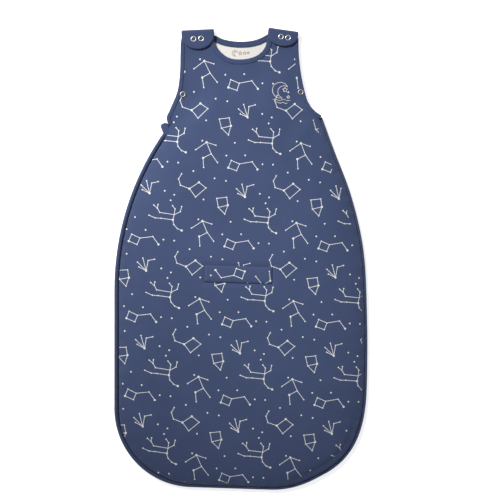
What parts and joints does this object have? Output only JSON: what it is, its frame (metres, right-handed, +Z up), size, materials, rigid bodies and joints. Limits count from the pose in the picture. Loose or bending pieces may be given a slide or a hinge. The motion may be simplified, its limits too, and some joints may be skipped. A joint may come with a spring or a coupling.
{
  "type": "baby sleeping bag",
  "caption": "Sleeveless padded baby sleeping bag with snap shoulder flaps, a two-way side zip round its foot, and a covered harness belt slot.",
  "frame": {"origin": "on the resting surface, under the middle of the bag", "axes": "+Y towards the head end, +X to the viewer's right looking down on the front, +Z up out of the front"},
  "size_m": [0.489, 0.8913, 0.0353],
  "materials": {
    "navy_print_cotton": "matte woven cotton, navy with an off-white star-line print",
    "navy_trim": "matte navy binding",
    "ivory_lining": "soft ivory jersey",
    "wadding": "polyester wadding",
    "zip_navy": "navy polyester tape and coil",
    "snap_metal": "satin pale nickel",
    "slider_enamel": "navy enamelled zinc"
  },
  "bodies": {
    "bag": {"front_outer_shell": "navy_print_cotton", "front_padding": "wadding", "front_lining": "ivory_lining", "back_outer_shell": "navy_print_cotton", "back_padding": "wadding", "back_lining": "ivory_lining", "front_neck_binding": "navy_trim", "back_neck_binding": "navy_trim", "right_armhole_binding_front": "navy_trim", "right_armhole_binding_back": "navy_trim", "left_armhole_binding_front": "navy_trim", "left_armhole_binding_back": "navy_trim", "zip_side_band": "navy_trim", "closed_side_piping": "navy_trim", "zip_tape_back": "zip_navy", "zip_coil_back": "zip_navy", "zip_tape_front_upper_end": "zip_navy", "zip_tape_front_lower_end": "zip_navy", "zip_coil_front_upper_end": "zip_navy", "zip_coil_front_lower_end": "zip_navy", "zip_top_stop": "slider_enamel", "zip_bottom_stop": "slider_enamel", "left_shoulder_snap_1_stud": "snap_metal", "left_shoulder_snap_2_stud": "snap_metal", "right_shoulder_snap_1_stud": "snap_metal", "right_shoulder_snap_2_stud": "snap_metal", "left_underarm_snap_cap": "snap_metal", "left_underarm_snap_socket": "snap_metal", "left_underarm_snap_stud": "snap_metal", "right_underarm_snap_cap": "snap_metal", "right_underarm_snap_socket": "snap_metal", "right_underarm_snap_stud": "snap_metal", "belt_slot_welt_front": "navy_trim", "belt_slot_welt_back": "navy_trim", "belt_flap_loop_strip": "navy_trim"},
    "left_flap": {"left_shoulder_flap": "navy_print_cotton", "left_shoulder_snap_1_cap": "snap_metal", "left_shoulder_snap_1_socket": "snap_metal", "left_shoulder_snap_2_cap": "snap_metal", "left_shoulder_snap_2_socket": "snap_metal"},
    "right_flap": {"right_shoulder_flap": "navy_print_cotton", "right_shoulder_snap_1_cap": "snap_metal", "right_shoulder_snap_1_socket": "snap_metal", "right_shoulder_snap_2_cap": "snap_metal", "right_shoulder_snap_2_socket": "snap_metal"},
    "front_corner": {"corner_outer_shell": "navy_print_cotton", "corner_padding": "wadding", "corner_lining": "ivory_lining", "zip_tape_front": "zip_navy", "zip_coil_front": "zip_navy"},
    "upper_zip_slider": {"upper_slider": "slider_enamel", "upper_slider_underplate": "slider_enamel"},
    "upper_pull": {"upper_zip_pull": "slider_enamel"},
    "lower_zip_slider": {"lower_slider": "slider_enamel", "lower_slider_underplate": "slider_enamel"},
    "lower_pull": {"lower_zip_pull": "slider_enamel"},
    "belt_cover": {"belt_flap": "navy_print_cotton", "belt_flap_hook_strip": "navy_trim"},
    "garage": {"zip_garage": "navy_trim"}
  },
  "joints": [
    {"name": "left_shoulder_flap_open", "type": "hinge", "parent": "bag", "child": "left_flap", "pos_m": [-0.08352, 0.4362, 0.011], "axis": [-0.999, -0.0454, 0], "range_deg": [0, 180]},
    {"name": "right_shoulder_flap_open", "type": "hinge", "parent": "bag", "child": "right_flap", "pos_m": [0.08143, 0.43614, 0.011], "axis": [-0.9898, 0.1426, 0], "range_deg": [0, 180]},
    {"name": "front_corner_open", "type": "hinge", "parent": "bag", "child": "front_corner", "pos_m": [-0.1626, 0.2238, 0.0315], "axis": [-0.2362, 0.9717, 0], "range_deg": [0, 110], "deforming": ["zip_tape_front", "zip_coil_front"]},
    {"name": "upper_slider_travel", "type": "hinge", "parent": "bag", "child": "upper_zip_slider", "pos_m": [0.2863, -0.06, 0.0072], "axis": [0, 0, 1], "range_deg": [0, 32]},
    {"name": "upper_pull_lift", "type": "hinge", "parent": "upper_zip_slider", "child": "upper_pull", "pos_m": [-0.14148, 0.23194, 0.0104], "axis": [-0.823, 0.568, 0], "range_deg": [0, 110]},
    {"name": "lower_slider_travel", "type": "slide", "parent": "bag", "child": "lower_zip_slider", "axis": [-0.9995, 0.0332, 0], "range_m": [0, 0.1]},
    {"name": "lower_pull_lift", "type": "hinge", "parent": "lower_zip_slider", "child": "lower_pull", "pos_m": [0.01524, -0.43246, 0.0104], "axis": [-0.0332, -0.9995, 0], "range_deg": [0, 120]},
    {"name": "belt_flap_open", "type": "hinge", "parent": "bag", "child": "belt_cover", "pos_m": [-0.00566, -0.04749, 0.0332], "axis": [0.9996, -0.0279, 0], "range_deg": [0, 150]},
    {"name": "zip_garage_lift", "type": "hinge", "parent": "bag", "child": "garage", "pos_m": [-0.1502, 0.2615, 0.0131], "axis": [-0.9272, -0.3746, 0], "range_deg": [0, 80]}
  ]
}
